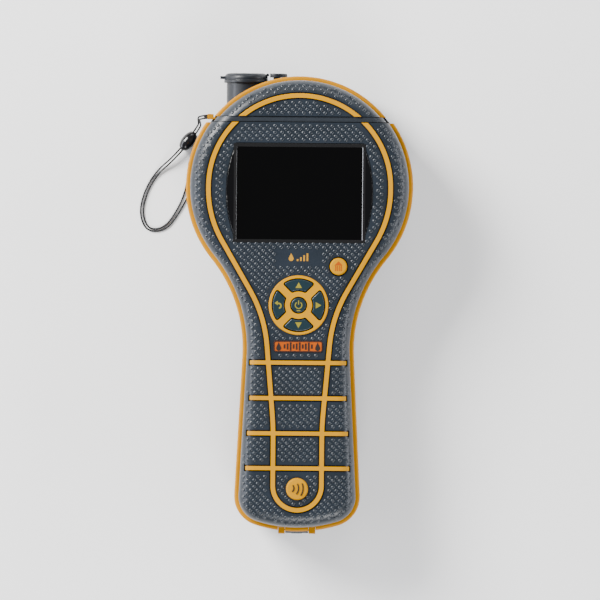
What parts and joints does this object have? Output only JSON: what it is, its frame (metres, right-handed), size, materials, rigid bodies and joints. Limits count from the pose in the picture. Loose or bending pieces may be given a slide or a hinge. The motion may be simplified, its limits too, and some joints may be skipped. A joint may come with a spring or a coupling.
{
  "type": "moisture meter",
  "caption": "Handheld moisture meter with a round display head, keypad handle, pull-off pin cap, lidded probe port and wrist strap.",
  "frame": {"origin": "under the middle of the meter (without its strap), on the surface it lies on", "axes": "+Z out of the display, +Y towards the pin cap and probe port, +X to the right as the display is read"},
  "size_m": [0.1271, 0.2136, 0.0473],
  "materials": {
    "grip_rubber": "matt moulded rubber with raised dimples",
    "case_grey": "fine-textured moulding",
    "bright_yellow": "satin moulding",
    "dark_plastic": "satin moulding",
    "black_glass": "glossy black window",
    "key_rubber": "dark silicone",
    "port_grey": "satin moulding",
    "orange_plate": "printed plate",
    "circuit_green": "solder mask",
    "chip_black": "moulded",
    "steel": "bright",
    "brass_contact": "plated",
    "battery_skin": "printed sleeve",
    "cord_black": "braided",
    "bead_black": "glossy",
    "lens_dark": "tinted window"
  },
  "bodies": {
    "root": {"front_shell": "grip_rubber", "rear_shell": "case_grey", "body_rim": "bright_yellow", "trim_frame": "bright_yellow", "seam_collar": "dark_plastic", "display_window": "black_glass", "window_gasket": "key_rubber", "lcd_module": "black_glass", "main_board": "circuit_green", "circuit_chips": "chip_black", "buzzer": "dark_plastic", "keypad_bezel": "bright_yellow", "keypad_mat": "key_rubber", "dome_switches": "steel", "nameplate": "orange_plate", "sensor_marker": "bright_yellow", "antenna_board": "circuit_green", "sensor_pad": "key_rubber", "rf_sensor_plate": "brass_contact", "rf_sensor_board": "circuit_green", "pin_block": "dark_plastic", "pin_collets": "brass_contact", "electrode_pins": "steel", "port_tube": "port_grey", "port_connector": "dark_plastic", "port_contacts": "brass_contact", "lid_anchor": "key_rubber", "ir_window": "lens_dark", "ir_sensor": "steel", "laser_module": "brass_contact", "battery_tray": "dark_plastic", "batteries": "battery_skin", "contact_plates": "steel", "contact_springs": "steel", "usb_socket": "steel", "usb_board": "circuit_green", "flap_lugs": "bright_yellow", "flap_hinge_pin": "steel", "case_screws": "steel", "strap_eyelet": "bright_yellow", "strap_cord": "cord_black"},
    "pin_cap": {"cap_shell": "grip_rubber", "cap_rim": "bright_yellow", "cap_trim": "bright_yellow"},
    "lid": {"port_lid": "key_rubber"},
    "flap": {"usb_flap": "dark_plastic"},
    "door": {"battery_door": "case_grey"},
    "bead": {"strap_bead": "bead_black"},
    "key_up": {"key_up": "key_rubber"},
    "key_right": {"key_right": "key_rubber"},
    "key_down": {"key_down": "key_rubber"},
    "key_back": {"key_back": "key_rubber"},
    "key_power": {"key_power": "key_rubber"},
    "key_home": {"key_home": "bright_yellow"}
  },
  "joints": [
    {"name": "cap_slide", "type": "slide", "parent": "root", "child": "pin_cap", "axis": [0, 1, 0], "range_m": [0, 0.04]},
    {"name": "lid_hinge", "type": "hinge", "parent": "root", "child": "lid", "pos_m": [-0.0152, 0.1061, 0.011], "axis": [0, 0, -1], "range_deg": [0, 122]},
    {"name": "flap_hinge", "type": "hinge", "parent": "root", "child": "flap", "pos_m": [0, -0.10515, 0.0204], "axis": [-1, 0, 0], "range_deg": [0, 100]},
    {"name": "door_release", "type": "slide", "parent": "root", "child": "door", "axis": [0, 0, -1], "range_m": [0, 0.02]},
    {"name": "bead_slide", "type": "slide", "parent": "root", "child": "bead", "axis": [-0.6228, -0.7824, 0], "range_m": [0, 0.003]},
    {"name": "key_up_press", "type": "slide", "parent": "root", "child": "key_up", "axis": [0, 0, -1], "range_m": [0, 0.0008], "stiffness_N_per_m": 600, "springref_m": -0.0004},
    {"name": "key_right_press", "type": "slide", "parent": "root", "child": "key_right", "axis": [0, 0, -1], "range_m": [0, 0.0008], "stiffness_N_per_m": 600, "springref_m": -0.0004},
    {"name": "key_down_press", "type": "slide", "parent": "root", "child": "key_down", "axis": [0, 0, -1], "range_m": [0, 0.0008], "stiffness_N_per_m": 600, "springref_m": -0.0004},
    {"name": "key_back_press", "type": "slide", "parent": "root", "child": "key_back", "axis": [0, 0, -1], "range_m": [0, 0.0008], "stiffness_N_per_m": 600, "springref_m": -0.0004},
    {"name": "key_power_press", "type": "slide", "parent": "root", "child": "key_power", "axis": [0, 0, -1], "range_m": [0, 0.0008], "stiffness_N_per_m": 600, "springref_m": -0.0004},
    {"name": "key_home_press", "type": "slide", "parent": "root", "child": "key_home", "axis": [0, 0, -1], "range_m": [0, 0.0008], "stiffness_N_per_m": 600, "springref_m": -0.0004}
  ]
}
